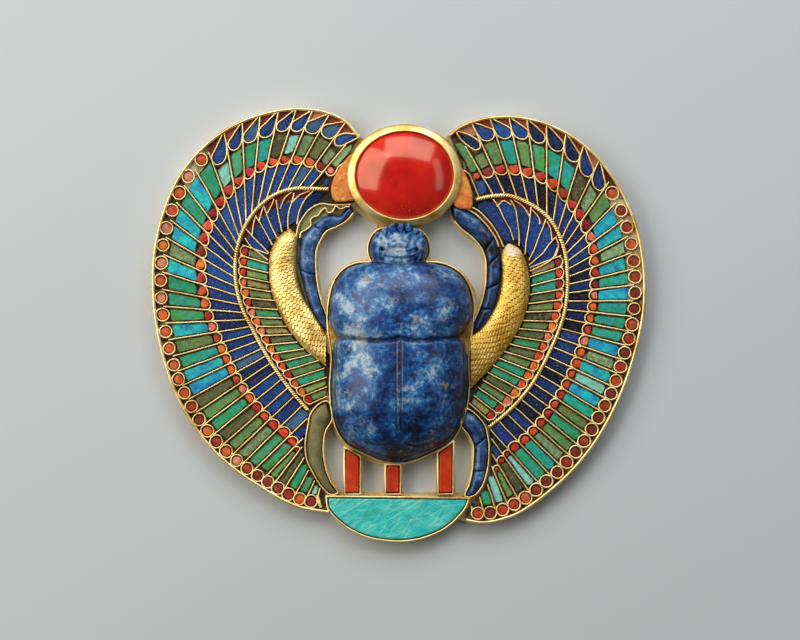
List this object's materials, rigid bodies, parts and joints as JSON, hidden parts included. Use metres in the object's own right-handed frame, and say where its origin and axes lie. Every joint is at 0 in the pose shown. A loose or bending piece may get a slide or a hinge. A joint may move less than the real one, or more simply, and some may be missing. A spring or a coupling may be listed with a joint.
{
  "type": "winged scarab pectoral",
  "caption": "Gold cloisonne pectoral of a winged lapis scarab between curved feather wings, with a domed red sun disc above and a bowl below.",
  "frame": {"origin": "centre of the bounding box, on the surface that the back plate lies on", "axes": "+X towards the viewer's right wing, +Y towards the sun disc, +Z out of the decorated front"},
  "size_m": [0.1051, 0.0925, 0.013],
  "materials": {
    "gold": "polished gold, worn, with fine scratches",
    "lapis": "polished lapis, mottled",
    "dark_lapis": "polished dark blue inlay",
    "carnelian": "polished red-brown stone dots",
    "disc_carnelian": "glossy domed red stone",
    "bar_carnelian": "polished red stone",
    "orange_stone": "matt orange stone",
    "turquoise": "satin turquoise with pale streaks",
    "green_stone": "satin green and turquoise slips",
    "olive_paste": "dull olive paste where the inlay is lost"
  },
  "bodies": {
    "root": {"base_plate": "gold", "bowl": "turquoise", "centre_cell_walls": "gold", "disc_ring": "gold", "left_bar": "bar_carnelian", "left_braid": "gold", "left_cheek": "orange_stone", "left_crescent": "gold", "left_feather_walls": "gold", "left_foreleg_stone_1": "lapis", "left_foreleg_stone_2": "lapis", "left_foreleg_stone_3": "lapis", "left_green_row": "green_stone", "left_hind_leg": "olive_paste", "left_inner_dots": "carnelian", "left_inner_green_row": "green_stone", "left_inner_walls": "gold", "left_lapis_row": "dark_lapis", "left_long_feathers": "dark_lapis", "left_middle_row": "carnelian", "left_outer_row": "carnelian", "left_rim": "gold", "middle_bar": "bar_carnelian", "right_bar": "bar_carnelian", "right_braid": "gold", "right_cheek": "orange_stone", "right_crescent": "gold", "right_feather_walls": "gold", "right_foreleg_stone_1": "lapis", "right_foreleg_stone_2": "lapis", "right_foreleg_stone_3": "lapis", "right_foreleg_stone_4": "lapis", "right_foreleg_stone_5": "lapis", "right_green_row": "green_stone", "right_hind_leg_stone_1": "lapis", "right_hind_leg_stone_2": "lapis", "right_hind_leg_stone_3": "lapis", "right_inner_dots": "carnelian", "right_inner_green_row": "green_stone", "right_inner_walls": "gold", "right_lapis_row": "dark_lapis", "right_long_feathers": "dark_lapis", "right_middle_row": "carnelian", "right_outer_row": "carnelian", "right_rim": "gold", "scarab": "lapis", "sun_disc": "disc_carnelian"}
  },
  "joints": []
}
